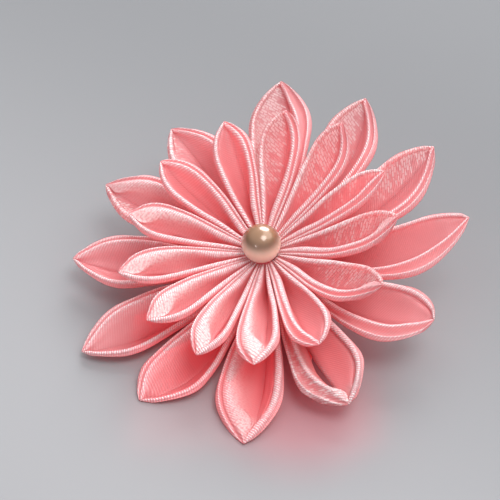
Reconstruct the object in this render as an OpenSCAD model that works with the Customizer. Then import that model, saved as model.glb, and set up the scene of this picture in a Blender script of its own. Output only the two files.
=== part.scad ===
// Kanzashi hairpin: a two tier flower of folded satin ribbon petals with a
// pearl in its centre, on a small two pronged hair pin, resting on a table.
// The flower leans on its front petals, and the pin lies flat behind them.

/* [Pearl] */
// Diameter of the pearl bead
pearl_d = 8; // [6:0.5:9]
// Gap between the pearl and the petals that carry it
pearl_gap = 0.3; // [0.1:0.05:0.5]

/* [Flower] */
// Lean of the flower towards the front, in degrees
lean_front = 15; // [10:0.5:18]
// Lean of the flower towards the left, in degrees
lean_left = 10; // [4:0.5:13]
// Clear space between two petals of one tier
petal_gap = 0.24; // [0.16:0.02:0.4]
// Clear height between the lower petals and the upper ones at their inner ends
tier_gap = 0.3; // [0.2:0.05:0.8]

/* [Upper petals] */
// Distance from the flower axis to the inner ends of the upper petals
upper_start = 3.2; // [2.8:0.1:3.6]
// Distance from the flower axis to the tips of the upper petals
upper_reach = 28.5; // [24:0.5:31]
// Greatest width of an upper petal
upper_width = 8.6; // [7:0.2:9.4]
// Height of the folded wall at the inner end of an upper petal
upper_height = 4.3; // [3.6:0.1:5.2]
// Rise of an upper petal from its inner end to its tip
upper_rise = 7.6; // [6:0.2:9.5]
// Width of the single rounded rim of an upper petal
upper_rim = 1.05; // [0.8:0.05:1.3]
// Width of the broad lip on the doubled side of an upper petal
upper_lip = 1.5; // [1:0.1:1.8]
// Width of the thin ridge outside the lip of an upper petal
upper_ridge = 0.6; // [0.5:0.05:0.8]
// Width of the groove between the lip and the thin ridge of an upper petal
upper_groove = 0.35; // [0.25:0.05:0.5]
// Thickness of the sealed edge under the cavity of an upper petal
upper_floor = 1; // [0.8:0.1:1.4]
// Direction of the first upper petal, in degrees
upper_turn = 105; // [96:0.5:112]

/* [Lower petals] */
// Distance from the flower axis to the inner ends of the lower petals
lower_start = 3.5; // [3:0.1:4.2]
// Distance from the flower axis to the tips of the lower petals
lower_reach = 40; // [34:0.5:44]
// Greatest width of a lower petal
lower_width = 12.4; // [10:0.2:13.4]
// Height of the folded wall at the inner end of a lower petal
lower_height = 4.7; // [4:0.1:5.6]
// Rise of a lower petal from its inner end to its tip
lower_rise = 4.5; // [3.6:0.1:5.2]
// Width of the single rounded rim of a lower petal
lower_rim = 1.25; // [0.9:0.05:1.5]
// Width of the broad lip on the doubled side of a lower petal
lower_lip = 1.8; // [1.2:0.1:2.2]
// Width of the thin ridge outside the lip of a lower petal
lower_ridge = 0.7; // [0.5:0.05:0.9]
// Width of the groove between the lip and the thin ridge of a lower petal
lower_groove = 0.4; // [0.3:0.05:0.6]
// Thickness of the sealed edge under the cavity of a lower petal
lower_floor = 1; // [0.8:0.1:1.4]
// Direction of the first lower petal, in degrees
lower_turn = 86; // [80:0.2:92]

/* [Hair pin] */
// Diameter of the pin's wire
wire_d = 1.6; // [1.2:0.1:1.8]
// Distance between the middles of the two prongs
prong_spacing = 10; // [8:0.5:12]
// Length of the straight prongs, without the bow
prong_length = 37; // [30:1:40]
// Direction of the prongs on the table, in degrees
prong_turn = 68; // [60:1:76]
// Diameter of the glue pad
pad_d = 14; // [11:0.5:14.5]
// Thickness of the glue pad
pad_t = 1; // [0.8:0.1:1.2]
// Diameter of the neck between the pad and the bow
neck_d = 4; // [3:0.5:5]
// Gap between the glue pad and the petals glued on it
pad_gap = 0.3; // [0.1:0.05:0.4]

/* [Hidden] */
// Columns of the two petal tables, a row for each petal.
// TURN and HOOK are degrees, and the others are shares of the tier's sizes.
TURN = 0;   // how far the petal's body lies from its even place
HOOK = 1;   // how much further its tip is bent aside
REACH = 2;  // length of its reach
RAISE = 3;  // what its tip rises more than the others, a share of the rise
OPEN = 4;   // width of its opening
BLUNT = 5;  // 0 for a pointed tip, 1 for a round one
GROOVE = 6; // width of its groove near the tip
DEPTH = 7;  // depth of its wall

lower_petals = [
    [-7,  3, 1.01,  0.0, 1.06, 0.0, 1.0, 1.15],
    [-9,  8, 1.01,  0.0, 1.00, 0.0, 1.0, 1.15],
    [-9, 11, 1.03,  0.0, 1.04, 0.0, 1.2, 1.15],
    [-8, 14, 1.05,  0.2, 1.00, 0.2, 2.2, 1.15],
    [-4,  8, 0.95, -0.4, 1.06, 1.0, 2.8, 1.10],
    [-4,  1, 0.97,  0.0, 1.22, 0.2, 1.2, 1.00],
    [-4,  0, 1.05,  0.0, 1.12, 0.0, 1.4, 1.00],
    [ 0, -7, 1.00,  0.1, 1.12, 0.2, 1.0, 1.00],
    [ 1, -1, 1.05,  0.2, 0.98, 0.0, 1.0, 1.00],
    [ 2, -3, 1.00,  0.0, 0.98, 0.0, 1.0, 1.10],
    [ 2,  1, 0.95,  0.2, 0.96, 0.0, 1.0, 1.15],
    [ 0,  4, 0.93, -0.2, 0.94, 0.0, 1.0, 1.10]
];

upper_petals = [
    [-3,  0, 0.97,  0.00, 0.98, 0.0, 1.0, 1.0],
    [ 2,  0, 0.97, -0.05, 0.96, 0.0, 1.0, 1.0],
    [ 2,  0, 0.97, -0.05, 0.96, 0.0, 1.0, 1.0],
    [ 1,  1, 1.02,  0.00, 0.94, 0.0, 1.0, 1.0],
    [ 0,  0, 0.99,  0.00, 0.94, 0.0, 1.0, 1.0],
    [-3,  2, 1.00,  0.00, 0.94, 0.0, 1.2, 1.0],
    [-4, -1, 1.01,  0.00, 1.10, 0.0, 1.4, 1.0],
    [-5, -1, 0.99,  0.00, 1.12, 0.4, 2.2, 1.0],
    [-6,  8, 1.00,  0.05, 1.02, 0.2, 1.8, 1.0],
    [-2,  7, 1.00,  0.10, 0.94, 0.0, 1.2, 1.0],
    [-2,  2, 1.00,  0.00, 0.78, 0.0, 1.6, 1.0],
    [-6,  7, 1.03,  0.10, 1.06, 0.0, 1.2, 1.0],
    [-2,  0, 1.01,  0.00, 1.06, 0.0, 1.2, 1.0]
];

// Columns of the two section tables, a row for each section from the inner
// end to the tip. ALONG is a share of the petal's length, POINTED and ROUND
// of its width, UP of its rise, and DROP of its wall height.
ALONG = 0;
POINTED = 1;
ROUND = 2;
UP = 3;
DROP = 4;

lower_sections = [
    [0.00, 1.00, 1.00, 0.00, 1.00],
    [0.10, 1.00, 1.00, 0.18, 1.15],
    [0.21, 1.00, 1.00, 0.37, 1.22],
    [0.34, 1.00, 1.00, 0.63, 1.20],
    [0.48, 1.00, 1.00, 0.90, 1.08],
    [0.60, 1.00, 1.00, 1.03, 0.96],
    [0.71, 0.97, 1.00, 1.10, 0.82],
    [0.80, 0.84, 0.94, 1.12, 0.64],
    [0.88, 0.61, 0.77, 1.11, 0.45],
    [0.95, 0.33, 0.51, 1.06, 0.27],
    [1.00, 0.06, 0.17, 1.00, 0.12]
];

upper_sections = [
    [0.00, 1.00, 1.00, 0.00, 1.00],
    [0.11, 1.00, 1.00, 0.15, 1.12],
    [0.23, 1.00, 1.00, 0.30, 1.15],
    [0.36, 1.00, 1.00, 0.46, 1.13],
    [0.49, 1.00, 1.00, 0.62, 1.10],
    [0.60, 1.00, 1.00, 0.74, 1.05],
    [0.70, 0.99, 1.00, 0.84, 0.97],
    [0.80, 0.87, 0.95, 0.93, 0.80],
    [0.88, 0.66, 0.80, 0.98, 0.58],
    [0.95, 0.37, 0.52, 1.00, 0.34],
    [1.00, 0.07, 0.17, 1.00, 0.14]
];

// Columns of a tier's sizes, gathered so that one set of functions folds both
START = 0;
FAR = 1;
WIDTH = 2;
HEIGHT = 3;
RISE = 4;
RIM = 5;
LIP = 6;
RIDGE = 7;
GAP = 8;
FLOOR = 9;
FOOT = 10;
FIRST = 11;
STEP = 12;

lower_tier = [
    lower_start, lower_reach, lower_width, lower_height, lower_rise,
    lower_rim, lower_lip, lower_ridge, lower_groove, lower_floor,
    0, lower_turn, -360 / len(lower_petals)
];
upper_tier = [
    upper_start, upper_reach, upper_width, upper_height, upper_rise,
    upper_rim, upper_lip, upper_ridge, upper_groove, upper_floor,
    lower_height + tier_gap, upper_turn, 360 / len(upper_petals)
];

// Half width of the sealed bottom edge of a petal
edge_half = 0.8;
// Half width of the seam at the bottom of the cavity, and how far it lies
// towards the single rim, as a share of the half width
seam_half = 0.25;
seam_side = 0.12;

// Folds of one section, each point [across, down] as shares of its fold: the
// outer walls of their width and height, the cavity's walls of their width
// and depth, and the rim, the lip, the groove and the ridge of their own width
wall_curve = [[0, 1], [0.62, 0.62], [0.975, 0.28]];
rim_curve = [[0, 0.4], [0.25, 0.06], [0.6, 0], [1, 0.3]];
rim_cavity = [0.8, 0.5];
lip_cavity = [0.62, 0.72];
lip_curve = [[1, 0.54], [0.5, 0.04], [0.12, 0.06]];
groove_bottom = [0.5, 1.4];
ridge_curve = [[0.5, 0.1], [1, 0.7]];
// Near the tip each fold takes at most this share of the half width, and the
// floor at most its share of the height
roll_most = 0.45;
ridge_most = 0.25;
edge_most = 0.8;
seam_most = 0.15;
floor_most = 0.4;

// How sharply a petal's outline turns from its wedge into its leaf shape
blend = 6;
// How late the tip bends aside, and how late it lifts
hook_power = 2.5;
raise_power = 3;

// Direction of a petal's middle at a share t of its length
function middle(tier, petals, i, t) =
    let (row = petals[(i + len(petals)) % len(petals)])
    tier[FIRST] + tier[STEP] * i + row[TURN] + row[HOOK] * pow(t, hook_power);

// Half width towards a neighbour: the leaf's own, kept inside the wedge
function half_width(leaf, r, spread) =
    let (wedge = r * sin(abs(spread) / 2) - petal_gap / 2)
    pow(pow(leaf, -blend) + pow(wedge, -blend), -1 / blend);

// Outline of one section, with its rims at z = 0 and its sealed edge h below.
// l is the half width of the side with the single rim, and r that of the
// doubled side with the broad lip, the groove and the thin ridge.
function section(tier, l, r, h, groove_share) =
    let (
        rim = min(tier[RIM], roll_most * l),
        lip = min(tier[LIP], roll_most * r),
        ridge = min(tier[RIDGE], ridge_most * r),
        groove = min(tier[GAP] * groove_share, ridge_most * r),
        foot_l = min(edge_half, edge_most * l),
        foot_r = min(edge_half, edge_most * r),
        depth = h - min(tier[FLOOR], floor_most * h),
        seam = min(seam_half, seam_most * l),
        seam_at = seam_side * l,
        fold = ridge + groove - r,
        lip_wall = fold + lip - seam_at,
        rim_wall = l - rim - seam_at
    )
    [
        for (p = wall_curve) [foot_l + (l - foot_l) * p[0], -p[1] * h],
        for (p = rim_curve) [l - p[0] * rim, -p[1] * rim],
        [seam_at + rim_wall * rim_cavity[0], -depth * rim_cavity[1]],
        [seam_at + seam, -depth],
        [seam_at - seam, -depth],
        [seam_at + lip_wall * lip_cavity[0], -depth * lip_cavity[1]],
        for (p = lip_curve) [fold + p[0] * lip, -p[1] * lip],
        [fold - groove_bottom[0] * groove, -groove_bottom[1] * groove],
        for (p = ridge_curve) [fold - groove - p[0] * ridge, -p[1] * ridge],
        for (k = [len(wall_curve) - 1 : -1 : 0])
            [
                -foot_r - (r - foot_r) * wall_curve[k][0],
                -wall_curve[k][1] * h
            ]
    ];

// All the points of one petal in the flower's own frame
function petal_points(tier, petals, sections, i) =
    let (
        row = petals[i],
        span = tier[FAR] * row[REACH] - tier[START]
    )
    [
        for (s = sections)
            let (
                t = s[ALONG],
                r = tier[START] + span * t,
                at = middle(tier, petals, i, t),
                before = middle(tier, petals, i - sign(tier[STEP]), t),
                after = middle(tier, petals, i + sign(tier[STEP]), t),
                share = s[POINTED] + (s[ROUND] - s[POINTED]) * row[BLUNT],
                leaf = tier[WIDTH] / 2 * share * row[OPEN],
                l = half_width(leaf, r, after - at),
                w = half_width(leaf, r, at - before),
                rim = tier[FOOT] + tier[HEIGHT]
                    + tier[RISE] * (s[UP] + row[RAISE] * pow(t, raise_power)),
                h = tier[HEIGHT] * s[DROP] * (1 + (row[DEPTH] - 1) * min(1, 2 * t)),
                groove = 1 + (row[GROOVE] - 1) * t * t
            )
            for (p = section(tier, l, w, h, groove))
                [
                    r * cos(at) - p[0] * sin(at),
                    r * sin(at) + p[0] * cos(at),
                    rim + p[1]
                ]
    ];

// Triangles round the sections, and one face over each end
function petal_faces(rings, n) = [
    [for (j = [0 : n - 1]) j],
    for (k = [0 : rings - 2])
        for (j = [0 : n - 1])
            let (a = k * n + j, b = k * n + (j + 1) % n)
            for (f = [[a, a + n, b], [b, a + n, b + n]]) f,
    [for (j = [n - 1 : -1 : 0]) (rings - 1) * n + j]
];

// Turns a point of the flower's own frame by the flower's lean
function lean(p) =
    let (
        y = p[1] * cos(lean_front) - p[2] * sin(lean_front),
        z = p[1] * sin(lean_front) + p[2] * cos(lean_front)
    )
    [
        p[0] * cos(lean_left) - z * sin(lean_left),
        y,
        p[0] * sin(lean_left) + z * cos(lean_left)
    ];

// Every petal, leaning as it rests
lower_forms = [
    for (i = [0 : len(lower_petals) - 1])
        [for (p = petal_points(lower_tier, lower_petals, lower_sections, i)) lean(p)]
];
upper_forms = [
    for (i = [0 : len(upper_petals) - 1])
        [for (p = petal_points(upper_tier, upper_petals, upper_sections, i)) lean(p)]
];
petal_cloud = [
    for (form = concat(lower_forms, upper_forms))
        for (p = form) p
];
section_size = len(section(lower_tier, 1, 1, 1, 1));
lower_faces = petal_faces(len(lower_sections), section_size);
upper_faces = petal_faces(len(upper_sections), section_size);

// The steepest slope of the leaning flower
slope = acos(cos(lean_front) * cos(lean_left));
// How deep the petals and the pad reach below the flower's own origin
petal_low = -min([for (p = petal_cloud) p[2]]);
pad_low = pad_d / 2 * sin(slope) + (pad_gap + pad_t) * cos(slope);
lift = max(petal_low, pad_low);

// The flower is moved so that the whole part is centred on its origin
prong_tips = [
    for (side = [-1, 1])
        let (along = prong_spacing / 2 + prong_length, aside = side * prong_spacing / 2)
        [
            along * cos(prong_turn) - aside * sin(prong_turn),
            along * sin(prong_turn) + aside * cos(prong_turn)
        ]
];
east = max([for (p = petal_cloud) p[0]]);
west = min([for (p = petal_cloud) p[0]]);
north = max([for (p = concat(petal_cloud, prong_tips)) p[1]]) + wire_d / 2;
south = min([for (p = petal_cloud) p[1]]);
place = [-(east + west) / 2, -(north + south) / 2, lift];

// Height of the pearl over the flower's own origin, carried on the ring of
// the upper petals' inner ends
pearl_r = pearl_d / 2;
carry = min(upper_start, pearl_r * 0.95);
pearl_z = lower_height + tier_gap + upper_height
    + sqrt(pow(pearl_r + pearl_gap, 2) - pow(carry, 2));

petal_pink = [0.97, 0.62, 0.64];
upper_pink = [0.98, 0.70, 0.71];
pearl_cream = [0.93, 0.83, 0.72];
pin_silver = [0.78, 0.78, 0.80];

module lower_petal(i) {
    color(petal_pink)
        translate(place)
            polyhedron(points = lower_forms[i], faces = lower_faces);
}

module upper_petal(i) {
    color(upper_pink)
        translate(place)
            polyhedron(points = upper_forms[i], faces = upper_faces);
}

module pearl() {
    color(pearl_cream)
        translate(place + lean([0, 0, pearl_z]))
            sphere(d = pearl_d, $fn = 96);
}

module prong(side) {
    translate([prong_spacing / 2, side * prong_spacing / 2, 0]) {
        rotate([0, 90, 0])
            cylinder(d = wire_d, h = prong_length, $fn = 48);
        translate([prong_length, 0, 0])
            sphere(d = wire_d, $fn = 48);
    }
}

module bow() {
    translate([prong_spacing / 2, 0, 0])
        rotate([0, 0, 90])
            rotate_extrude(angle = 180, $fn = 96)
                translate([prong_spacing / 2, 0])
                    circle(d = wire_d, $fn = 48);
}

module glue_pad() {
    translate([0, 0, lift])
        rotate([lean_front, -lean_left, 0])
            translate([0, 0, -pad_gap - pad_t])
                cylinder(d = pad_d, h = pad_t, $fn = 96);
}

module hair_pin() {
    neck_h = lift - (pad_gap + pad_t / 2) * cos(slope) - wire_d / 2;
    color(pin_silver)
        translate([place[0], place[1], 0])
            union() {
                translate([0, 0, wire_d / 2]) {
                    rotate([0, 0, prong_turn]) {
                        prong(-1);
                        prong(1);
                        bow();
                    }
                    cylinder(d = neck_d, h = neck_h, $fn = 48);
                }
                glue_pad();
            }
}

pearl();
hair_pin();
for (i = [0 : len(upper_petals) - 1])
    upper_petal(i);
for (i = [0 : len(lower_petals) - 1])
    lower_petal(i);
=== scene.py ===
# Kanzashi hairpin: a flower of folded satin ribbon petals in two tiers round a
# pearl. It leans on its front petals, with its small steel pin lying behind.
# Each petal is one folded strip of ribbon: from its sealed bottom edge up the
# outer wall, over a single rounded rim, down into the cavity, up over a broad
# soft lip, through a narrow groove, over a thin ridge and down again.
from collections import namedtuple
from math import cos, pi, radians, sin, sqrt

import bmesh
import bpy
from mathutils import Matrix, Vector, noise


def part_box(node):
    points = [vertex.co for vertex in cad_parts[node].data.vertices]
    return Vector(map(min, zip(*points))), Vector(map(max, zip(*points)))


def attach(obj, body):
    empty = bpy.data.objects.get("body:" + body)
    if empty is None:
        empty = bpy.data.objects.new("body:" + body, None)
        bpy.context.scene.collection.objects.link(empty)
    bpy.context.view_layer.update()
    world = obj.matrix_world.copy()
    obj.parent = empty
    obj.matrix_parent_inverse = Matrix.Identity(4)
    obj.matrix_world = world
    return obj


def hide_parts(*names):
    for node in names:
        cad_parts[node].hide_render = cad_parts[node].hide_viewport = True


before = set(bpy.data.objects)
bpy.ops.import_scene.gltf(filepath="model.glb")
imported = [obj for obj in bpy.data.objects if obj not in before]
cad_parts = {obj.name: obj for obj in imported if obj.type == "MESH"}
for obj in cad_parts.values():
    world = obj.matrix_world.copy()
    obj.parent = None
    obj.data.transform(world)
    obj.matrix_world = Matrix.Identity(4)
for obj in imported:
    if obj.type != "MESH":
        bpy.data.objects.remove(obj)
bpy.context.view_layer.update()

# Vector noise starts from the clock unless it is given a seed
SEED = 3
noise.seed_set(SEED)

MM = 0.001

# The flower's own sizes, in millimetres and degrees. Edge half is half the
# width of a petal's sealed bottom. Blend is how sharply a petal's width gives
# way to the wedge between its neighbours, hook power and raise power how late
# along it the hook and the lift set in. Bulge is a share of its half width, and
# bulge room a share of what the wedge leaves free.
PEARL_D = 8.0
PEARL_GAP = 0.3
LEAN_FRONT = 15.0
LEAN_LEFT = 10.0
PETAL_GAP = 0.04
TIER_GAP = 0.3
EDGE_HALF = 0.8
BLEND = 6
HOOK_POWER = 2.5
RAISE_POWER = 3
BULGE = 0.12
BULGE_ROOM = 0.4

# Ribbon: its thickness, how many rings fold it and how they crowd towards the
# tip, where the very end starts to close, and the size of one UV unit
CLOTH = 0.18
RINGS = 64
CROWDED = 1.4
CLOSES_FROM = 0.965
UV_UNIT = 50.0
THREADS = "threads"

# What hand folding leaves: how far the cloth ripples sideways and up, how many
# ripples there are to a millimetre, and the share by which a width strays. The
# ripples are wider than petal gap, and two pairs of ribbons cross a little at
# their roots: upper petal 13 with 1, and 5 with 6.
RIPPLE_ASIDE = 0.12
RIPPLE_UP = 0.14
RIPPLES_PER_MM = 0.16
STRAY = 0.22

# The cloth's looks. Painted shade darkens a seam on its own row of points and on the next two to
# each side, most of all where the closed tip is longer than long beak. Pocket shade is how much
# painted shade deepens the pockets' colour, and slit shows is half the width, in millimetres, from
# which a slit opens.
LONG_BEAK = 2.5
SEAM_DARK = (1, 0.8, 0.3)
POCKET_SHADE = 1.8
SLIT_SHOWS = 0.08
# The looks stored on each point: how far the cloth rolls, with its painted highlight, its painted
# glints, how flat it lies, with its painted sheen, and the painted shade of the seam, the tip and
# the pocket
LOOKS = ("rolled", "glitter", "pressed", "seam", "dusky", "shaded")

# A tier: the direction of its first petal and the step to the next in degrees,
# where its petals start and end from the flower's axis, and their sizes. Rim,
# lip, ridge, groove and floor are for the petal's body, away from its tip, and
# foot is the height of the tier's underside before it rises. Square is the side of
# its ribbon squares, and left the share of a square that a petal's mesh
# measures as one skin. The rest would lie in hidden plies or be cut off.
Tier = namedtuple(
    "Tier",
    "name count first step start far width height rise rim lip ridge groove floor foot"
    " square left",
)
LOWER = Tier(
    name="lower_petal", count=12, first=86.0, step=-30.0,
    start=3.5, far=40.0, width=12.4, height=4.7, rise=4.5,
    rim=1.15, lip=0.95, ridge=0.6, groove=0.3, floor=1.0,
    foot=0.0, square=50.0, left=0.40,
)
UPPER = Tier(
    name="upper_petal", count=13, first=105.0, step=360 / 13,
    start=3.2, far=28.5, width=8.6, height=4.3, rise=7.6,
    rim=1.0, lip=0.85, ridge=0.55, groove=0.25, floor=1.0,
    foot=LOWER.height + TIER_GAP, square=40.0, left=0.36,
)

# One petal. Turn and hook are degrees. Rim, lip, groove, beak, ramp and slit are millimetres: rim,
# lip and groove are their widths near the tip, beak is how long the closed tip is, ramp how long
# the cavity's floor takes to rise to it, slit half the width of a gap in the cavity's bottom, at
# its widest. The others are shares: reach is of the tier's far end, lift of its rise, open of its
# width and depth of its height, blunt is how round the tip is, side where the cavity's seam lies,
# and the last how strongly painted glints light the wall, on the rim's side or, if negative, the
# lip's. It also sets the painted shade at the tip.
Petal = namedtuple(
    "Petal",
    "turn hook reach lift open blunt depth rim lip groove beak ramp slit side glitter",
)
LOWER_PETALS = [
    Petal(-7, 3, 1.01, 0.0, 1.06, 0.0, 1.15, 0.9, 0.8, 1.8, 0.8, 3.0, 0.0, -0.3, 1.0),
    Petal(-9, 8, 1.01, 0.0, 1.00, 0.0, 1.15, 0.9, 1.0, 0.7, 0.8, 3.0, 0.0, -0.2, 1.0),
    Petal(-9, 11, 1.03, 0.0, 1.04, 0.0, 1.15, 0.9, 0.9, 0.7, 0.8, 2.6, 0.0, 0.0, 0.7),
    Petal(-8, 14, 1.05, 0.2, 1.00, 0.2, 1.15, 0.8, 0.7, 2.0, 0.3, 1.6, 0.0, -0.35, 0.1),
    Petal(-4, 8, 0.95, -0.4, 1.06, 1.0, 1.10, 1.1, 0.8, 2.0, 0.3, 1.6, 0.0, -0.3, 0.1),
    Petal(-4, 1, 0.97, 0.0, 1.22, 0.2, 1.00, 1.5, 1.1, 2.0, 2.6, 3.0, 0.6, -0.25, -0.25),
    Petal(-4, 0, 1.05, 0.0, 1.12, 0.0, 1.00, 1.9, 2.8, 0.8, 3.8, 5.2, 0.0, 0.35, 0.1),
    Petal(0, -7, 1.00, 0.1, 1.12, 0.2, 1.00, 1.15, 1.1, 0.4, 0.9, 2.6, 0.0, 0.45, 0.0),
    Petal(1, -1, 1.05, 0.2, 0.98, 0.0, 1.00, 1.1, 1.0, 0.4, 0.8, 2.2, 0.0, 0.4, 0.0),
    Petal(2, -3, 1.00, 0.0, 0.98, 0.0, 1.10, 1.1, 1.0, 0.4, 0.9, 2.6, 0.0, 0.3, 0.0),
    Petal(2, 1, 0.95, 0.2, 0.96, 0.0, 1.15, 1.2, 2.2, 0.5, 2.0, 4.5, 0.0, 0.2, 0.6),
    Petal(0, 4, 0.93, -0.2, 0.94, 0.0, 1.10, 1.0, 1.0, 0.5, 0.8, 2.6, 0.0, 0.1, 0.3),
]
UPPER_PETALS = [
    Petal(-3, 0, 0.97, 0.0, 0.98, 0.0, 1.0, 1.0, 0.95, 0.4, 0.9, 2.6, 0.0, -0.1, 0.1),
    Petal(2, 0, 0.97, -0.05, 0.96, 0.0, 1.0, 1.0, 1.0, 0.4, 1.0, 2.6, 0.0, 0.1, 0.0),
    Petal(2, 0, 0.97, -0.05, 0.96, 0.0, 1.0, 1.05, 2.2, 0.4, 2.6, 5.0, 0.0, 0.3, 0.1),
    Petal(1, 1, 1.02, 0.0, 0.94, 0.0, 1.0, 1.1, 2.4, 0.35, 3.0, 5.2, 0.0, 0.3, 0.1),
    Petal(0, 0, 0.99, 0.0, 0.94, 0.0, 1.0, 1.15, 2.4, 0.35, 3.2, 5.4, 0.0, 0.3, 0.1),
    Petal(-3, 2, 1.00, 0.0, 0.94, 0.0, 1.0, 1.2, 2.4, 0.4, 3.4, 5.2, 0.0, 0.3, 0.1),
    Petal(-4, -1, 1.01, 0.0, 1.10, 0.0, 1.0, 1.4, 2.2, 0.7, 3.9, 4.8, 0.0, 0.3, 0.0),
    Petal(-5, -1, 0.99, 0.0, 1.12, 0.4, 1.0, 1.1, 0.9, 1.3, 1.0, 1.8, 0.0, -0.3, 0.0),
    Petal(-6, 8, 1.00, 0.05, 1.02, 0.2, 1.0, 0.9, 0.9, 0.9, 2.4, 2.4, 0.0, -0.2, 0.8),
    Petal(-2, 7, 1.00, 0.1, 0.94, 0.0, 1.0, 0.9, 0.9, 0.7, 3.2, 2.6, 0.0, -0.2, 0.8),
    Petal(-2, 2, 1.00, 0.0, 0.78, 0.0, 1.0, 0.8, 0.8, 1.2, 0.6, 2.0, 0.0, -0.1, 0.4),
    Petal(-6, 7, 1.03, 0.1, 1.06, 0.0, 1.0, 0.85, 0.9, 0.8, 0.8, 3.0, 0.0, -0.2, 1.0),
    Petal(-2, 0, 1.01, 0.0, 1.06, 0.0, 1.0, 0.85, 0.9, 0.6, 1.0, 3.6, 0.0, -0.2, 1.0),
]

# One section of a petal: where it lies along the petal, then its width where
# the tip is pointed or round, its rise and the height of its wall, as shares
Section = namedtuple("Section", "along pointed round up drop")
LOWER_SECTIONS = [
    Section(0.00, 1.00, 1.00, 0.00, 1.00),
    Section(0.10, 1.00, 1.00, 0.18, 1.15),
    Section(0.21, 1.00, 1.00, 0.37, 1.22),
    Section(0.34, 1.00, 1.00, 0.63, 1.20),
    Section(0.48, 1.00, 1.00, 0.90, 1.08),
    Section(0.60, 1.00, 1.00, 1.03, 0.96),
    Section(0.71, 0.97, 1.00, 1.10, 0.82),
    Section(0.80, 0.84, 0.94, 1.12, 0.64),
    Section(0.88, 0.61, 0.77, 1.11, 0.45),
    Section(0.95, 0.33, 0.51, 1.06, 0.27),
    Section(1.00, 0.06, 0.17, 1.00, 0.12),
]
UPPER_SECTIONS = [
    Section(0.00, 1.00, 1.00, 0.00, 1.00),
    Section(0.11, 1.00, 1.00, 0.15, 1.12),
    Section(0.23, 1.00, 1.00, 0.30, 1.15),
    Section(0.36, 1.00, 1.00, 0.46, 1.13),
    Section(0.49, 1.00, 1.00, 0.62, 1.10),
    Section(0.60, 1.00, 1.00, 0.74, 1.05),
    Section(0.70, 0.99, 1.00, 0.84, 0.97),
    Section(0.80, 0.87, 0.95, 0.93, 0.80),
    Section(0.88, 0.66, 0.80, 0.98, 0.58),
    Section(0.95, 0.37, 0.52, 1.00, 0.34),
    Section(1.00, 0.07, 0.17, 1.00, 0.14),
]

# How finely each stretch of the folded path is cut, from the sealed bottom up
# the rim's wall, over and round to the bottom again
FINE = [
    2, 3, 3, 3, 2, 2, 2, 2, 2, 3, 3, 3, 1, 1, 3, 3, 3, 3, 2, 2, 2, 2, 2, 2, 2, 2, 3, 3, 3, 2,
]

# Corners of that path: where the cavity starts inside the rim, its seam, and
# where it ends on the lip. Then how many points lie before each of them.
INSIDE_RIM = 8
SEAM = 13
ON_LIP = 18
FIRST_INSIDE = sum(FINE[:INSIDE_RIM])
SEAM_POINT = sum(FINE[:SEAM])
LAST_INSIDE = sum(FINE[:ON_LIP])

# How white the rolled cloth is painted at each corner of that path, partly as a painted highlight
# where its threads catch the light and partly for the paler stretched threads of the fold: on the
# rims, the lip and the ridge, where the section is open and where it is shut
ROLLED_OPEN = [
    0, 0, 0, 0.1, 0.4, 0.8, 1, 0.9, 0.5, 0.2, 0, 0, 0, 0, 0, 0,
    0, 0.4, 0.9, 1, 0.7, 0.2, 0, 0.2, 0.8, 1, 0.6, 0.1, 0, 0, 0,
]
ROLLED_SHUT = [
    0, 0, 0, 0.1, 0.5, 0.9, 1, 1, 0.7, 0.5, 0.3, 0.2, 0.1, 0.1, 0.1, 0.2,
    0.4, 0.55, 0.6, 0.7, 0.7, 0.3, 0, 0.3, 0.8, 1, 0.6, 0.1, 0, 0, 0,
]

# How much later each corner closes towards the tip, so that the cavity ends round, how flat the
# cloth is pressed there once it is closed, and how much painted sheen lightens the lip's side of
# the cavity while that is open
LATE = [0] * 9 + [0.3, 0.7, 1, 1, 1, 1, 1, 0.7, 0.3] + [0] * 13
PRESSED = [0] * 8 + [0.3, 0.6, 0.9, 1, 1, 1, 1, 1, 1, 1, 1, 0.9, 0.6, 0.2] + [0] * 9
WALL_SHEEN = [0] * 15 + [0.25, 0.6, 0.7, 0.5, 0.2] + [0] * 11


def to_linear(code):
    """A colour written as sRGB hex, in the linear values that Blender takes."""
    parts = [int(code[k : k + 2], 16) / 255 for k in (1, 3, 5)]
    return [c / 12.92 if c <= 0.04045 else ((c + 0.055) / 1.055) ** 2.4 for c in parts] + [1]


def smooth(x):
    """From 0 to 1 as x does, with a soft start and end."""
    x = max(0.0, min(1.0, x))
    return x * x * (3 - 2 * x)


def mix(a, b, share):
    """The value that lies a share of the way from a to b."""
    return a + (b - a) * share


def least(a, b):
    """The smaller of two sizes, with a soft change from one to the other."""
    return (a**-4 + b**-4) ** -0.25


def curve_weights(x):
    """How much a curve's start, the slope there, its end and the slope there
    count at a share x of the way along it."""
    return 2 * x**3 - 3 * x**2 + 1, x**3 - 2 * x**2 + x, 3 * x**2 - 2 * x**3, x**3 - x**2


def bend(p0, p1, p2, p3, x):
    """Point on a smooth curve from p1 to p2, its slopes as long as its chord."""
    chord = (p2 - p1).length
    start = (p2 - p0).normalized() * chord
    end = (p3 - p1).normalized() * chord
    a, b, c, d = curve_weights(x)
    return p1 * a + start * b + p2 * c + end * d


def section_at(sections, t):
    """The section's shares at t, smoothly between the rows of its table."""
    k = max(j for j in range(len(sections) - 1) if sections[j].along <= t)
    before = sections[max(0, k - 1)]
    low = sections[k]
    high = sections[k + 1]
    after = sections[min(len(sections) - 1, k + 2)]
    step = high.along - low.along
    a, b, c, d = curve_weights((t - low.along) / step)
    shares = []
    for column in range(1, len(Section._fields)):
        start = (high[column] - before[column]) / (high.along - before.along)
        end = (after[column] - low[column]) / (after.along - low.along)
        shares.append(low[column] * a + start * step * b + high[column] * c + end * step * d)
    return Section(t, *shares)


def middle(tier, petals, i, t):
    """Direction of a petal's middle at a share t of its length, in degrees."""
    petal = petals[i % tier.count]
    return tier.first + tier.step * i + petal.turn + petal.hook * t**HOOK_POWER


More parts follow.
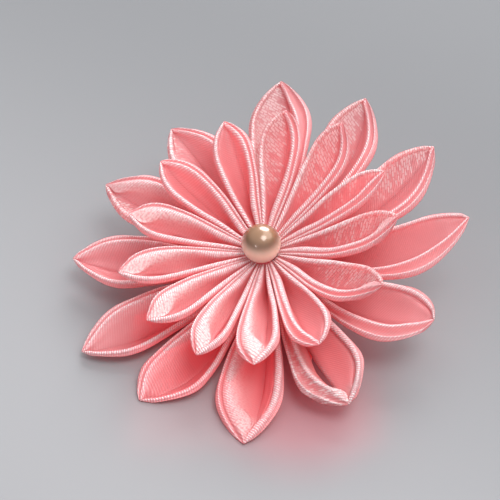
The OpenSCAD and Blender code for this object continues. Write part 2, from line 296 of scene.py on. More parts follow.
def half_width(leaf, r, spread):
    """Half width towards a neighbour: the leaf's own, kept inside the wedge,
    and how far the wall may bulge past it in the room that the wedge leaves."""
    wedge = r * sin(radians(abs(spread)) / 2) - PETAL_GAP / 2
    half = (leaf**-BLEND + wedge**-BLEND) ** (-1 / BLEND)
    return half, least(BULGE * half, BULGE_ROOM * (wedge - half))


def gape(petal, t):
    """Half the width of the slit between the two sides of a petal's seam. The
    factor of 6.75 makes it what the table says at the widest place."""
    x = min(1, max(0, (t - 0.5) / 0.42))
    return petal.slit * 6.75 * x * x * (1 - x)


def wander(i, part, t):
    """How far a width strays along petal i, as folding by hand leaves it."""
    return 1 + STRAY * noise.noise(Vector((3.5 * t, 2.7 * i, 5.3 * part)))


def fold_points(tier, petal, i, widths, h, t, to_tip):
    """Corners of one section of the fold, across and up from the rims' top, and at each how far
    the cloth rolls, with its painted highlight, and how flat it lies, with the painted sheen on
    the lip's wall. Widths holds, for the rim's side and then the ridge's, the half width and how
    far its wall bulges.
    The section goes from open, with its cavity, to shut, where the lip meets
    the single rim in a crease, and at the very tip to a crest between them."""
    (left, out_left), (right, out_right) = widths
    near_tip = smooth((t - 0.35) / 0.45)
    packed = smooth(1 - t / 0.75)
    rim = least((mix(tier.rim, petal.rim, near_tip) + 0.6 * packed) * wander(i, 1, t), 0.5 * left)
    lip = least((mix(tier.lip, petal.lip, near_tip) + 0.6 * packed) * wander(i, 2, t), 0.9 * right)
    lip = min(lip, 0.62 * right)
    ridge = least((tier.ridge + 0.2 * packed) * wander(i, 3, t), 0.3 * right)
    gap = mix(tier.groove, petal.groove, smooth((t - 0.3) / 0.6))
    gap = min(gap * wander(i, 4, t), 0.4 * right)
    drop = 0.15 * ridge + 0.12 * gap
    dip = min(0.3 + 0.45 * gap, 0.9, 0.3 * h) * mix(0.4, 1, smooth(t / 0.3))
    fold = ridge + gap - right
    depth = (h - min(tier.floor, 0.4 * h)) * mix(0.15, 1, smooth(t / 0.32))
    at = petal.side * (left if petal.side > 0 else right)
    slit = gape(petal, t) + 0.04
    split = smooth((slit - 0.05) / 0.2)
    under = mix(0, at, split)
    part = mix(0.03, slit, split)
    foot_left = under + part + min(EDGE_HALF, 0.7 * (left - under - part))
    foot_right = under - part - min(EDGE_HALF, 0.7 * (right + under - part))
    up = left - rim - at
    down = fold + lip - at
    opened = [
        (under + part, -h),
        (foot_left, -h),
        (foot_left + (left - foot_left) * 0.62 + 0.8 * out_left, -0.62 * h),
        (left * 0.975 + out_left, -0.28 * h),
        (left, -0.45 * rim),
        (left - 0.12 * rim, -0.13 * rim),
        (left - 0.45 * rim, 0),
        (left - 0.82 * rim, -0.13 * rim),
        (left - rim, -0.5 * rim),
        (left - 1.03 * rim, -0.9 * rim),
        (at + up * 0.86, -0.45 * depth),
        (at + up * 0.46, -0.8 * depth),
        (at + slit, -depth),
        (at, -depth - mix(0.05, 0.3, split) * (h - depth)),
        (at - slit, -depth),
        (at + down * 0.40, -0.84 * depth),
        (at + down * 0.75, -0.50 * depth),
        (fold + lip, -0.28 * lip - 0.08 * depth),
        (fold + 0.6 * lip, -0.08 * lip),
        (fold + 0.3 * lip, 0),
        (fold + 0.06 * lip, -0.1 * lip),
        (fold - 0.12 * gap, -0.55 * dip),
        (fold - 0.5 * gap, -dip),
        (fold - 0.9 * gap, -0.55 * dip - drop),
        (fold - gap - 0.25 * ridge, -drop - 0.1 * ridge),
        (fold - gap - 0.6 * ridge, -drop),
        (-right, -drop - 0.5 * ridge),
        (-right * 0.975 - out_right, -0.28 * h - 0.5 * drop),
        (foot_right - (right + foot_right) * 0.62 - 0.8 * out_right, -0.62 * h),
        (foot_right, -h),
        (under - part, -h),
    ]
    roll = min(petal.rim, 0.75 * left)
    filled = smooth((petal.beak - 1.2) / 1.2) * (1 if petal.side > 0 else 0.6)
    inner = left - roll
    meet = mix(min(fold + lip, inner), inner, filled)
    wide = meet - fold
    crest = smooth(1.2 - to_tip / (0.8 * petal.beak + 0.3))
    crease = mix(0.5 * left, 0.75 * min(roll, 1.1) * (1 - crest), filled)
    saddle = (0.12 * wide * (1 - crest) + 0.05 * left) * filled + 0.1 * lip * (1 - filled)
    fall = 0.1 * left * crest * filled
    closed = [
        (under + part, -h),
        (foot_left, -h),
        (foot_left + (left - foot_left) * 0.62 + 0.8 * out_left, -0.66 * h),
        (left * 0.985 + out_left, -0.25 * h - 0.3 * roll),
        (left, -0.5 * roll),
        (left - 0.14 * roll, -0.2 * roll),
        (left - 0.45 * roll, 0),
        (left - 0.8 * roll, -0.1 * roll),
        (mix(inner, meet, 0.08) + 0.04 * roll, -0.3 * crease),
        (mix(inner, meet, 0.2) + 0.03 * roll, -0.5 * crease),
        (mix(inner, meet, 0.42) + 0.02 * roll, -0.7 * crease),
        (mix(inner, meet, 0.7) + 0.02 * roll, -0.88 * crease),
        (mix(inner, meet, 0.94) + 0.01 * roll, -0.98 * crease),
        (meet, -crease),
        (meet - 0.01 * roll, -0.98 * crease),
        (meet - 0.03 * roll, -0.85 * crease),
        (meet - 0.08 * roll, -0.5 * crease),
        (mix(meet, fold, 0.2), -saddle),
        (mix(meet, fold, 0.55), -0.4 * saddle - 0.8 * fall),
        (mix(meet, fold, 0.8), -fall),
        (mix(meet, fold, 0.96), -0.05 * wide - 1.4 * fall),
        (fold - 0.15 * gap, -2 * fall - 0.6 * dip),
        (fold - 0.5 * gap, -2 * fall - dip),
        (fold - 0.9 * gap, -2 * fall - 0.6 * dip - drop),
        (fold - gap - 0.3 * ridge, -2.2 * fall - drop - 0.05),
        (fold - gap - 0.65 * ridge, -2.4 * fall - drop),
        (-right, -3 * fall - drop - 0.4 * ridge),
        (-right * 0.975 - out_right, -0.25 * h - 0.4 * right),
        (foot_right - (right + foot_right) * 0.62 - 0.8 * out_right, -0.66 * h),
        (foot_right, -h),
        (under - part, -h),
    ]
    shut = [
        smooth(1 - (to_tip - petal.beak * (1 - 0.5 * late)) / petal.ramp) for late in LATE
    ]
    corners = [
        Vector((mix(a[0], b[0], share), mix(a[1], b[1], share)))
        for a, b, share in zip(opened, closed, shut)
    ]
    rolled = [mix(a, b, share) for a, b, share in zip(ROLLED_OPEN, ROLLED_SHUT, shut)]
    flat = filled * (1 - 0.6 * crest)
    # Painted sheen on the lip's wall of the open cavity
    pale = filled * smooth((t - 0.3) / 0.3)
    pressed = [
        mix(pale * wall, flat * flatness, share)
        for wall, flatness, share in zip(WALL_SHEEN, PRESSED, shut)
    ]
    return corners, rolled, pressed


def fold_path(corners, rolled, pressed):
    """Smooth path over the corners of a section, cut as FINE says, and at each of its points how
    far the cloth rolls, with its painted highlight, and how flat it lies, with its painted sheen."""
    path = [corners[0]]
    shares = [(rolled[0], pressed[0])]
    for k, cuts in enumerate(FINE):
        before = corners[max(0, k - 1)]
        after = corners[min(len(corners) - 1, k + 2)]
        for j in range(1, cuts + 1):
            path.append(bend(before, corners[k], corners[k + 1], after, j / cuts))
            x = j / cuts
            shares.append((mix(rolled[k], rolled[k + 1], x), mix(pressed[k], pressed[k + 1], x)))
    return path, shares


def along_ring(k):
    """Share of the petal's length at ring k. The rings are closer at the tip."""
    return 1 - (1 - k / RINGS) ** CROWDED


def petal_rings(tier, petals, sections, i):
    """Rings of points of one petal in the flower's frame, with the arc length of each point from
    the seam, and the cloth's looks there: how far it rolls, with its painted highlight, how
    strongly painted glints show, how flat it lies, with its painted sheen, how much painted shade
    darkens the seam and the tip, and how much painted shade deepens the pocket's colour. That last
    one has no column: it follows where the seam lies, which is far to the rim's side on the darker
    pockets."""
    petal = petals[i]
    span = tier.far * petal.reach - tier.start
    clockwise = -1 if tier.step > 0 else 1
    rings = []
    for k in range(RINGS + 1):
        t = along_ring(k)
        s = section_at(sections, min(t, 0.99999))
        r = tier.start + span * t
        at = middle(tier, petals, i, t)
        before = middle(tier, petals, i + clockwise, t)
        after = middle(tier, petals, i - clockwise, t)
        leaf = tier.width / 2 * mix(s.pointed, s.round, petal.blunt) * petal.open
        widths = half_width(leaf, r, after - at), half_width(leaf, r, at - before)
        h = tier.height * s.drop * (1 + (petal.depth - 1) * min(1, 2 * t))
        up_here = s.up + petal.lift * t**RAISE_POWER
        rim = tier.foot + tier.height + tier.rise * up_here
        path, shares = fold_path(*fold_points(tier, petal, i, widths, h, t, span * (1 - t)))
        end = sqrt(max(0, 1 - max(0, (t - CLOSES_FROM) / (1 - CLOSES_FROM)) ** 2))
        centre = Vector((0, -0.45 * h))
        path = [centre + (p - centre) * end for p in path]
        arcs = [0.0]
        for a, b in zip(path, path[1:]):
            arcs.append(arcs[-1] + (b - a).length)
        ring = []
        # On the glinting petals the rims' painted highlight fades towards the tip
        dim = mix(1, 0.35, smooth((t - 0.45) / 0.3)) if petal.glitter > 0.5 else 1
        # Painted shade along the seam, uneven along the petal, where the cavity's bottom closes in
        seam_shade = smooth(0.5 + 1.6 * noise.noise(Vector((4 * t, 3.1 * i, tier.foot + 0.5))))
        seam_shade *= smooth((t - 0.1) / 0.2) * smooth((span * (1 - t) - petal.beak) / 3)
        seam_shade *= 1 if petal.beak > LONG_BEAK else 0.25
        # Painted shade: the glinting petals' tips turn mauve where they face away from the light
        painted_shade = abs(petal.glitter) * smooth((t - 0.72) / 0.28)
        pocket_shade = max(0, petal.side) * POCKET_SHADE if tier is LOWER else 0
        turn = radians(at)
        for j, (p, arc, (rolled, pressed)) in enumerate(zip(path, arcs, shares)):
            at_ripple = (p.x * RIPPLES_PER_MM, r * RIPPLES_PER_MM, i * 7.3 + tier.foot)
            ripple = noise.noise_vector(Vector(at_ripple))
            aside = p.x + RIPPLE_ASIDE * ripple.x * end
            up = rim + p.y + RIPPLE_UP * ripple.y * end
            x = r * cos(turn) - aside * sin(turn)
            y = r * sin(turn) + aside * cos(turn)
            from_seam = abs(j - SEAM_POINT)
            in_pocket = FIRST_INSIDE < j < LAST_INSIDE
            looks = {
                "rolled": rolled * dim if j < SEAM_POINT else rolled,
                "glitter": abs(petal.glitter) * smooth((t - 0.25) / 0.35) * smooth(1.2 + p.y / 6),
                "pressed": pressed,
                "seam": seam_shade * SEAM_DARK[from_seam] if from_seam < len(SEAM_DARK) else 0,
                "dusky": painted_shade,
                "shaded": pocket_shade * smooth(-p.y / 4) if in_pocket else 0,
            }
            ring.append((Vector((x, y, up)), arc - arcs[SEAM_POINT], r, looks))
        rings.append(ring)
    return rings


def lean():
    """The flower's lean to the front and then to the left."""
    front = Matrix.Rotation(radians(LEAN_FRONT), 3, "X")
    left = Matrix.Rotation(radians(-LEAN_LEFT), 3, "Y")
    return left @ front


def pearl_height():
    """Height of the pearl over the flower's origin, carried by the petals."""
    r = PEARL_D / 2
    carry = min(UPPER.start, r * 0.95)
    return UPPER.foot + UPPER.height + sqrt((r + PEARL_GAP) ** 2 - carry**2)


def box_middle(node):
    """Middle of a solid's box, which for the round pearl is its centre."""
    low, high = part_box(node)
    return (Vector(low) + Vector(high)) / 2


PEARL_AT = box_middle("pearl")
FLOWER_AT = PEARL_AT - lean() @ Vector((0, 0, pearl_height())) * MM


def put_in_scene(name, data):
    """A new object in the scene, for a mesh, a lamp or the camera."""
    thing = bpy.data.objects.new(name, data)
    bpy.context.scene.collection.objects.link(thing)
    return thing


def add_piece(name, mesh, material):
    """Makes a smooth shaded object of a mesh, riding on the hairpin's body."""
    data = bpy.data.meshes.new(name)
    mesh.to_mesh(data)
    mesh.free()
    data.materials.append(material)
    for face in data.polygons:
        face.use_smooth = True
    piece = put_in_scene(name, data)
    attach(piece, "root")
    return piece


def fold_petal(tier, petals, sections, i, material):
    """One petal as a strip of ribbon, folded along its rings."""
    rings = petal_rings(tier, petals, sections, i)
    across = sum(FINE)
    mesh = bmesh.new()
    bmesh.ops.create_grid(mesh, x_segments=across, y_segments=RINGS, size=0.5)
    uvs = mesh.loops.layers.uv.new(THREADS)
    layers = {name: mesh.verts.layers.float.new(name) for name in LOOKS}
    gaping = []
    places = {}
    turn = lean()
    for v in mesh.verts:
        j = round((v.co.x + 0.5) * across)
        k = round((v.co.y + 0.5) * RINGS)
        place, arc, along, looks = rings[k][j]
        places[v] = (arc / UV_UNIT, along / UV_UNIT)
        slit_here = gape(petals[i], along_ring(k)) > SLIT_SHOWS
        if slit_here and abs(j - SEAM_POINT) == 1:
            looks["rolled"] = 0.8
        beyond = j - SEAM_POINT if petals[i].glitter > 0 else SEAM_POINT - j
        looks["glitter"] *= smooth((4 - beyond) / 4) * mix(0.2, 1, smooth(-beyond / 9))
        for name in LOOKS:
            v[layers[name]] = looks[name]
        v.co = FLOWER_AT + turn @ place * MM
        if slit_here and j == SEAM_POINT:
            gaping.append(v)
    for face in mesh.faces:
        for loop in face.loops:
            loop[uvs].uv = places[loop.vert]
    bmesh.ops.delete(mesh, geom=gaping, context="VERTS")
    bmesh.ops.remove_doubles(mesh, verts=mesh.verts, dist=0.002 * MM)
    bmesh.ops.recalc_face_normals(mesh, faces=mesh.faces)
    piece = add_piece(f"{tier.name}_{i + 1}_ribbon", mesh, material)
    if petals[i].slit:
        cloth = piece.modifiers.new("ribbon thickness", "SOLIDIFY")
        cloth.thickness = CLOTH * MM
        cloth.offset = -1
    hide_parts(f"{tier.name}_{i + 1}")


def add(tree, kind, settings=(), links=()):
    """Adds a node with its settings and its links, by socket name or number. A
    mix of colours takes its share at 0 and its colours at 6 and 7, and gives
    its result at 2."""
    node = tree.nodes.new(kind)
    for key, value in dict(settings).items():
        if isinstance(key, str) and hasattr(node, key):
            setattr(node, key, value)
        else:
            node.inputs[key].default_value = value
    for key, source in dict(links).items():
        tree.links.new(source, node.inputs[key])
    return node


def new_material(name):
    """An empty material and its node tree."""
    material = bpy.data.materials.new(name)
    material.use_nodes = True
    material.node_tree.nodes.clear()
    return material, material.node_tree


# Weave, in millimetres and degrees: how far apart the threads are on the rims
# and the floats on the walls, how long a float is, and how the threads slant.
# Blender's wave texture turns by 20 radians over one unit at scale 1.
THREADS_APART = 0.44
FLOATS_APART = 0.62
FLOAT_LONG = 1.3
THREAD_SLANT = -66
WAVE_TURNS = 20


def pink_satin():
    """Polyester satin ribbon, woven with long floats. Folded on the bias, its threads cross a
    petal steeply. Where they catch the light they are painted nearly white: as painted highlights
    on the rims, which the fold's stretched threads also make paler, and as painted glints in short
    dashes on the rippled walls. They are drawn wider apart than real ones, so that they show. The
    cloth is thin and lets light through. Painted shade darkens the seams, the tips and the
    glinting walls between their dashes, and deepens the pockets' colour. Flattened cloth is
    painted paler, with a painted sheen on the lip's wall, as the looks stored on each petal say."""
    material, tree = new_material("pink satin ribbon")
    uv = add(tree, "ShaderNodeUVMap", {"uv_map": THREADS})
    look = {
        name: add(tree, "ShaderNodeAttribute", {"attribute_name": name}).outputs["Fac"]
        for name in LOOKS
    }
    turned = add(
        tree,
        "ShaderNodeMapping",
        {"Rotation": (0, 0, radians(THREAD_SLANT)), "Scale": (UV_UNIT, UV_UNIT, 1)},
        {"Vector": uv.outputs["UV"]},
    )
    threads = add(
        tree,
        "ShaderNodeTexWave",
        {
            "Scale": 2 * pi / WAVE_TURNS / THREADS_APART,
            "Distortion": 0.8,
            "Detail": 1.0,
            "Detail Scale": 1.5,
        },
        {"Vector": turned.outputs["Vector"]},
    )
    along_threads = add(
        tree,
        "ShaderNodeMapping",
        {"Scale": (2.4, 2.0, 1)},
        {"Vector": turned.outputs["Vector"]},
    )
    uneven = add(
        tree,
        "ShaderNodeTexNoise",
        {"Scale": 1.0, "Detail": 2.0},
        {"Vector": along_threads.outputs["Vector"]},
    )
    along_ripples = add(
        tree,
        "ShaderNodeMapping",
        {"Scale": (1.9, 0.7, 1)},
        {"Vector": turned.outputs["Vector"]},
    )
    ripples = add(
        tree,
        "ShaderNodeTexNoise",
        {"Scale": 1.0, "Detail": 1.0},
        {"Vector": along_ripples.outputs["Vector"]},
    )
    caught = add(
        tree,
        "ShaderNodeMapRange",
        {"interpolation_type": "SMOOTHSTEP", "From Min": 0.25, "From Max": 0.7},
        {"Value": threads.outputs["Fac"]},
    )
    broken = add(
        tree,
        "ShaderNodeMapRange",
        {
            "interpolation_type": "SMOOTHSTEP",
            "From Min": 0.38,
            "From Max": 0.54,
            "To Min": 0.15,
            "To Max": 1.0,
        },
        {"Value": uneven.outputs["Fac"]},
    )
    strands = add(
        tree,
        "ShaderNodeMath",
        {"operation": "MULTIPLY"},
        {0: caught.outputs["Result"], 1: broken.outputs["Result"]},
    )
    across_petal = add(
        tree,
        "ShaderNodeMapping",
        {"Scale": (0.22 * UV_UNIT, UV_UNIT, 1)},
        {"Vector": uv.outputs["UV"]},
    )
    rows = add(
        tree,
        "ShaderNodeTexNoise",
        {"Scale": 1.0, "Detail": 2.0},
        {"Vector": across_petal.outputs["Vector"]},
    )
    lit = add(
        tree,
        "ShaderNodeMapRange",
        {
            "interpolation_type": "SMOOTHSTEP",
            "From Min": 0.4,
            "From Max": 0.54,
            "To Min": 0.3,
            "To Max": 1.0,
        },
        {"Value": rows.outputs["Fac"]},
    )
    strayed = add(
        tree,
        "ShaderNodeVectorMath",
        {"operation": "MULTIPLY_ADD", 1: (0.5, 0.5, 0)},
        {0: ripples.outputs["Color"], 2: turned.outputs["Vector"]},
    )
    along_floats = add(
        tree,
        "ShaderNodeMapping",
        {"Rotation": (0, 0, radians(90))},
        {"Vector": strayed.outputs["Vector"]},
    )
    floats = add(
        tree,
        "ShaderNodeTexBrick",
        {
            "offset": 0.5,
            "Color1": (1, 1, 1, 1),
            "Color2": (0.1, 0.1, 0.1, 1),
            "Mortar": (0, 0, 0, 1),
            "Scale": 1.0,
            "Mortar Size": 0.14,
            "Mortar Smooth": 0.6,
            "Bias": -0.2,
            "Brick Width": FLOAT_LONG,
            "Row Height": FLOATS_APART,
        },
        {"Vector": along_floats.outputs["Vector"]},
    )
    # Painted glints: short bright dashes on the floats of the walls, in rows where the ripples
    # catch the light
    glints = add(
        tree,
        "ShaderNodeMath",
        {"operation": "MULTIPLY"},
        {0: floats.outputs["Color"], 1: lit.outputs["Result"]},
    )
    share_lit = add(
        tree,
        "ShaderNodeMath",
        {"operation": "MULTIPLY"},
        {0: glints.outputs[0], 1: look["glitter"]},
    )
    glitter = add(
        tree,
        "ShaderNodeMapRange",
        {"interpolation_type": "SMOOTHSTEP", "From Min": 0.05, "From Max": 0.24},
        {"Value": share_lit.outputs[0]},
    )
    deep = add(
        tree,
        "ShaderNodeMix",
        {"data_type": "RGBA", 6: to_linear("#f29ca2"), 7: to_linear("#ffc1c4")},
        {0: threads.outputs["Fac"]},
    )
    # Painted highlight: the threads on the rolled rims painted nearly white where they catch the
    # light, over cloth that the fold's stretched threads make paler
    rolled = add(
        tree,
        "ShaderNodeMix",
        {"data_type": "RGBA", 6: to_linear("#ecb0b7"), 7: to_linear("#fffdfc")},
        {0: strands.outputs[0]},
    )
    plain = add(
        tree,
        "ShaderNodeMix",
        {"data_type": "RGBA"},
        {0: look["rolled"], 6: deep.outputs[2], 7: rolled.outputs[2]},
    )
    # Flattened cloth painted paler and grainy, and the painted sheen on the lip's wall
    grainy = add(
        tree,
        "ShaderNodeMix",
        {"data_type": "RGBA", 6: to_linear("#eaaaaf"), 7: to_linear("#ffe9e7")},
        {0: broken.outputs["Result"]},
    )
    flattened = add(
        tree,
        "ShaderNodeMix",
        {"data_type": "RGBA"},
        {0: look["pressed"], 6: plain.outputs[2], 7: grainy.outputs[2]},
    )
    in_shade = add(
        tree,
        "ShaderNodeMix",
        {"data_type": "RGBA", 7: to_linear("#dc7079")},
        {0: look["shaded"], 6: flattened.outputs[2]},
    )
    # Painted shade: a dark line along the seam
    seamed = add(
        tree,
        "ShaderNodeMix",
        {"data_type": "RGBA", 7: to_linear("#b5454f")},
        {0: look["seam"], 6: in_shade.outputs[2]},
    )
    # Painted shade: mauve on the tips that face away from the light and on the glinting walls
    # between their dashes
    painted_shade = add(
        tree,
        "ShaderNodeMath",
        {"operation": "MULTIPLY_ADD", 1: 0.5},
        {0: look["glitter"], 2: look["dusky"]},
    )
    painted_shade_share = add(
        tree,
        "ShaderNodeMapRange",
        {"From Max": 1.3, "To Max": 0.85},
        {"Value": painted_shade.outputs[0]},
    )
    mauve_shaded = add(
        tree,
        "ShaderNodeMix",
        {"data_type": "RGBA", 7: to_linear("#b0767c")},
        {0: painted_shade_share.outputs["Result"], 6: seamed.outputs[2]},
    )
    # The painted glints, nearly white
    colour = add(
        tree,
        "ShaderNodeMix",
        {"data_type": "RGBA", 7: to_linear("#fffafa")},
        {0: glitter.outputs["Result"], 6: mauve_shaded.outputs[2]},
    )
    raised = add(
        tree,
        "ShaderNodeMath",
        {"operation": "MAXIMUM"},
        {0: look["rolled"], 1: look["glitter"]},
    )
    relief = add(
        tree,
        "ShaderNodeMapRange",
        {"To Min": 0.045, "To Max": 0.11},
        {"Value": raised.outputs[0]},
    )
    thread_height = add(
        tree,
        "ShaderNodeMath",
        {"operation": "MULTIPLY"},
        {0: threads.outputs["Fac"], 1: relief.outputs["Result"]},
    )
    uneven_height = add(
        tree,
        "ShaderNodeMath",
        {"operation": "MULTIPLY_ADD", 1: 0.05},
        {0: uneven.outputs["Fac"], 2: thread_height.outputs[0]},
    )
    ripple_height = add(
        tree,
        "ShaderNodeMath",
        {"operation": "MULTIPLY", 1: 0.2},
        {0: ripples.outputs["Fac"]},
    )
    height = add(
        tree,
        "ShaderNodeMath",
        {"operation": "MULTIPLY_ADD"},
        {0: ripple_height.outputs[0], 1: look["glitter"], 2: uneven_height.outputs[0]},
    )
    bump = add(
        tree,
        "ShaderNodeBump",
        {"Strength": 1.0, "Distance": MM},
        {"Height": height.outputs[0]},
    )
    grain = add(tree, "ShaderNodeTangent", {"direction_type": "UV_MAP", "uv_map": THREADS})
    skin = add(
        tree,
        "ShaderNodeBsdfPrincipled",
        {
            "Roughness": 0.33,
            "IOR": 1.5,
            "Specular IOR Level": 1.0,
            "Anisotropic": 0.6,
            "Anisotropic Rotation": 0.317,
            "Sheen Weight": 0.2,
            "Sheen Roughness": 0.4,
            "Sheen Tint": to_linear("#ffe0e0"),
        },
        {
            "Base Color": colour.outputs[2],
            "Normal": bump.outputs["Normal"],
            "Tangent": grain.outputs["Tangent"],
        },
    )
    through = add(
        tree,
        "ShaderNodeBsdfTranslucent",
        {"Color": to_linear("#ffb2b4")},
    )
    thin = add(
        tree,
        "ShaderNodeMapRange",
        {"To Min": 0.6, "To Max": 0.22},
        {"Value": look["rolled"]},
    )
    cloth = add(
        tree,
        "ShaderNodeMixShader",
        {},
        {0: thin.outputs["Result"], 1: skin.outputs[0], 2: through.outputs[0]},
    )
    add(tree, "ShaderNodeOutputMaterial", {}, {"Surface": cloth.outputs[0]})
    return material


def cream_pearl():
    """Cream imitation pearl: glossy lacquer on a bead. Its top is painted brown
    with a darker ring below, in place of the dark room that a real one mirrors,
    and its lower half pale and rosy, in place of the petals."""
    material, tree = new_material("cream pearl lacquer")
    radius = PEARL_D / 2 * MM
    place = add(tree, "ShaderNodeTexCoord")
    height = add(tree, "ShaderNodeSeparateXYZ", {}, {"Vector": place.outputs["Object"]})
    cap = add(
        tree,
        "ShaderNodeMapRange",
        {
            "interpolation_type": "SMOOTHSTEP",
            "From Min": PEARL_AT.z,
            "From Max": PEARL_AT.z + 0.72 * radius,
        },
        {"Value": height.outputs["Z"]},
    )
    inside = add(
        tree,
        "ShaderNodeMapRange",
        {
            "interpolation_type": "SMOOTHSTEP",
            "From Min": PEARL_AT.z + 0.48 * radius,
            "From Max": PEARL_AT.z + 0.85 * radius,
        },
        {"Value": height.outputs["Z"]},
    )
    top = add(
        tree,
        "ShaderNodeMix",
        {"data_type": "RGBA", 6: to_linear("#6c4a35"), 7: to_linear("#8f6a4d")},
        {0: inside.outputs["Result"]},
    )
    base = add(
        tree,
        "ShaderNodeMix",
        {"data_type": "RGBA", 6: to_linear("#f1cfb8")},
        {0: cap.outputs["Result"], 7: top.outputs[2]},
    )
    mirror = add(
        tree,
        "ShaderNodeMath",
        {"operation": "MULTIPLY", 1: 0.15},
        {0: cap.outputs["Result"]},
    )
    skin = add(
        tree,
        "ShaderNodeBsdfPrincipled",
        {"Roughness": 0.3, "Coat Weight": 1.0, "Coat Roughness": 0.13},
        {"Base Color": base.outputs[2], "Metallic": mirror.outputs[0]},
    )
    add(tree, "ShaderNodeOutputMaterial", {}, {"Surface": skin.outputs[0]})
    return material


def pin_steel():
    """Drawn steel wire and a stamped steel pad, nickel plated: a soft gloss with fine scratches
    along the wire."""
    material, tree = new_material("nickel plated steel wire")
    place = add(tree, "ShaderNodeTexCoord")
    scratches = add(
        tree,
        "ShaderNodeTexNoise",
        {"Scale": 900.0, "Detail": 4.0},
        {"Vector": place.outputs["Object"]},
    )
    gloss = add(
        tree,
        "ShaderNodeMapRange",
        {"To Min": 0.22, "To Max": 0.42},
        {"Value": scratches.outputs["Fac"]},
    )
    skin = add(
        tree,
        "ShaderNodeBsdfPrincipled",
        {"Base Color": to_linear("#c9c8c6"), "Metallic": 1.0},
        {"Roughness": gloss.outputs["Result"]},
    )
    add(tree, "ShaderNodeOutputMaterial", {}, {"Surface": skin.outputs[0]})
    return material


# Where the light that comes through the petals reddens the paper, and how far,
# in millimetres
ROSY_X = 6
ROSY_Y = -35
ROSY_RADIUS = 20


def grey_paper():
    """Smooth matt grey backdrop paper, painted a little darker towards the back and the right as
    painted shade where less light falls, and painted rosy in front of the flower, where the thin
    petals of a real one let light through."""
    material, tree = new_material("grey backdrop paper")
    place = add(tree, "ShaderNodeTexCoord")
    turned = add(
        tree,
        "ShaderNodeMapping",
        {"Rotation": (0, 0, radians(34))},
        {"Vector": place.outputs["Object"]},
    )
    depth = add(tree, "ShaderNodeSeparateXYZ", {}, {"Vector": turned.outputs["Vector"]})
    # Painted shade: darker towards the back and the right, where less light falls
    falloff_shade = add(
        tree,
        "ShaderNodeMapRange",
        {"interpolation_type": "SMOOTHSTEP", "From Min": -0.07, "From Max": 0.07},
        {"Value": depth.outputs["Y"]},
    )
    tone = add(
        tree,
        "ShaderNodeMix",
        {"data_type": "RGBA", 6: to_linear("#8f9093"), 7: to_linear("#707275")},
        {0: falloff_shade.outputs["Result"]},
    )
    under_front = add(
        tree,
        "ShaderNodeMapping",
        {
            "Location": (-ROSY_X / ROSY_RADIUS, -ROSY_Y / ROSY_RADIUS, 0),
            "Scale": (1 / ROSY_RADIUS / MM, 1 / ROSY_RADIUS / MM, 1),
        },
        {"Vector": place.outputs["Object"]},
    )
    patch = add(
        tree,
        "ShaderNodeTexGradient",
        {"gradient_type": "SPHERICAL"},
        {"Vector": under_front.outputs["Vector"]},
    )
    blush = add(
        tree,
        "ShaderNodeMapRange",
        {
            "interpolation_type": "SMOOTHSTEP",
            "From Min": 0.0,
            "From Max": 0.8,
            "To Min": 0.0,
            "To Max": 0.42,
        },
        {"Value": patch.outputs["Fac"]},
    )
    rosy = add(
        tree,
        "ShaderNodeMix",
        {"data_type": "RGBA", 7: to_linear("#b0707a")},
        {0: blush.outputs["Result"], 6: tone.outputs[2]},
    )
    skin = add(
        tree,
        "ShaderNodeBsdfPrincipled",
        {"Roughness": 0.85},
        {"Base Color": rosy.outputs[2]},
    )
    add(tree, "ShaderNodeOutputMaterial", {}, {"Surface": skin.outputs[0]})
    return material


# The photograph, in pixels: its width, and the pearl's width and place in it.
# Then the camera's height in degrees, its distance and its sensor.
PHOTO = 500
PEARL_PIXELS = 39.7
PEARL_COLUMN = 261.1
PEARL_ROW = 243.3
CAMERA_UP = 47.0
CAMERA_AWAY = 400.0
SENSOR = 36.0


def add_camera():
    """Camera that sees the pearl where, and as wide as, the photograph does."""
    data = bpy.data.cameras.new("camera")
    data.sensor_width = SENSOR
    data.lens = CAMERA_AWAY * PEARL_PIXELS / PEARL_D * SENSOR / PHOTO
    data.shift_x = (PHOTO / 2 - PEARL_COLUMN) / PHOTO
    data.shift_y = (PEARL_ROW - PHOTO / 2) / PHOTO
    data.clip_start = 0.01
    data.clip_end = 10
    camera = put_in_scene("camera", data)
    back = Vector((0, -cos(radians(CAMERA_UP)), sin(radians(CAMERA_UP))))
    camera.location = PEARL_AT + back * CAMERA_AWAY * MM
    camera.rotation_euler = back.to_track_quat("Z", "Y").to_euler()
    bpy.context.scene.camera = camera


def new_lamp(name, size, power, colour):
    """A lamp with a square face of that size in metres, not yet placed."""
    data = bpy.data.lights.new(name, "AREA")
    data.size = size
    data.energy = power
    data.color = to_linear(colour)[:3]
    return put_in_scene(name, data)


def add_light(name, towards, away, size, power, colour):
    """Round lamp in the direction towards, away metres from the flower."""
    lamp = new_lamp(name, size, power, colour)
    lamp.data.shape = "DISK"
    direction = Vector(towards).normalized()
    lamp.location = PEARL_AT + direction * away
    lamp.rotation_euler = direction.to_track_quat("Z", "Y").to_euler()


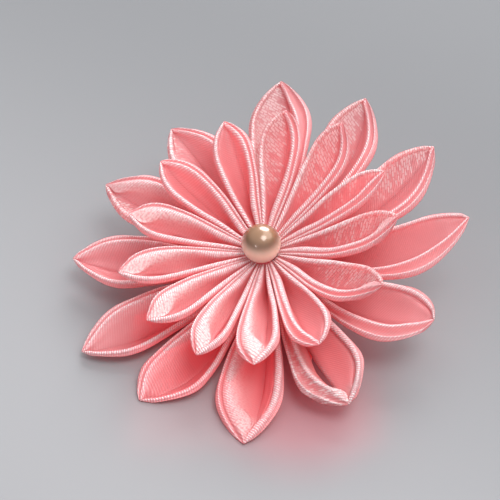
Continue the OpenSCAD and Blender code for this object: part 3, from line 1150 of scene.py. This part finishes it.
def add_glow():
    """The rosy light that the thin petals let through on to the table, as a
    weak lamp under their front half that shines down only."""
    lamp = new_lamp("glow under the petals", size=0.05, power=0.0035, colour="#ff3c50")
    lamp.location = (-0.002, -0.018, 0.004)


def add_studio():
    """The paper, four lamps, the glow and a sky that is brightest overhead."""
    paper = bmesh.new()
    bmesh.ops.create_grid(paper, x_segments=1, y_segments=1, size=0.6)
    data = bpy.data.meshes.new("floor")
    paper.to_mesh(data)
    paper.free()
    data.materials.append(grey_paper())
    floor = put_in_scene("floor", data)
    right = (0.552, 0.232, 0.80)
    back = (0.22, 0.80, 0.56)
    top = (0.25, -0.198, 0.947)
    front = (-0.483, -0.761, 0.433)
    add_light("right light", right, away=0.9, size=0.8, power=3.3, colour="#fffaf5")
    add_light("back light", back, away=0.8, size=0.5, power=7.0, colour="#ffffff")
    add_light("top light", top, away=0.8, size=0.4, power=3.0, colour="#ffffff")
    add_light("front light", front, away=0.8, size=0.08, power=0.35, colour="#ffffff")
    add_glow()
    world = bpy.data.worlds.new("studio")
    bpy.context.scene.world = world
    world.use_nodes = True
    sky = world.node_tree.nodes["Background"]
    sky.inputs["Color"].default_value = to_linear("#f4f2f4")
    place = add(world.node_tree, "ShaderNodeTexCoord")
    height = add(
        world.node_tree, "ShaderNodeSeparateXYZ", {}, {"Vector": place.outputs["Generated"]}
    )
    overhead = add(
        world.node_tree,
        "ShaderNodeMapRange",
        {
            "interpolation_type": "SMOOTHSTEP",
            "From Min": 0.0,
            "From Max": 0.75,
            "To Min": 0.1,
            "To Max": 0.95,
        },
        {"Value": height.outputs["Z"]},
    )
    world.node_tree.links.new(overhead.outputs["Result"], sky.inputs["Strength"])
    bpy.context.scene.view_settings.view_transform = "Standard"


def set_finish(node, material):
    """Gives a solid of the model its material."""
    piece = bpy.data.objects[node]
    for slot in piece.material_slots:
        slot.material = material


add_camera()
add_studio()
satin = pink_satin()
for i in range(LOWER.count):
    fold_petal(LOWER, LOWER_PETALS, LOWER_SECTIONS, i, satin)
for i in range(UPPER.count):
    fold_petal(UPPER, UPPER_PETALS, UPPER_SECTIONS, i, satin)
set_finish("pearl", cream_pearl())
set_finish("hair_pin", pin_steel())
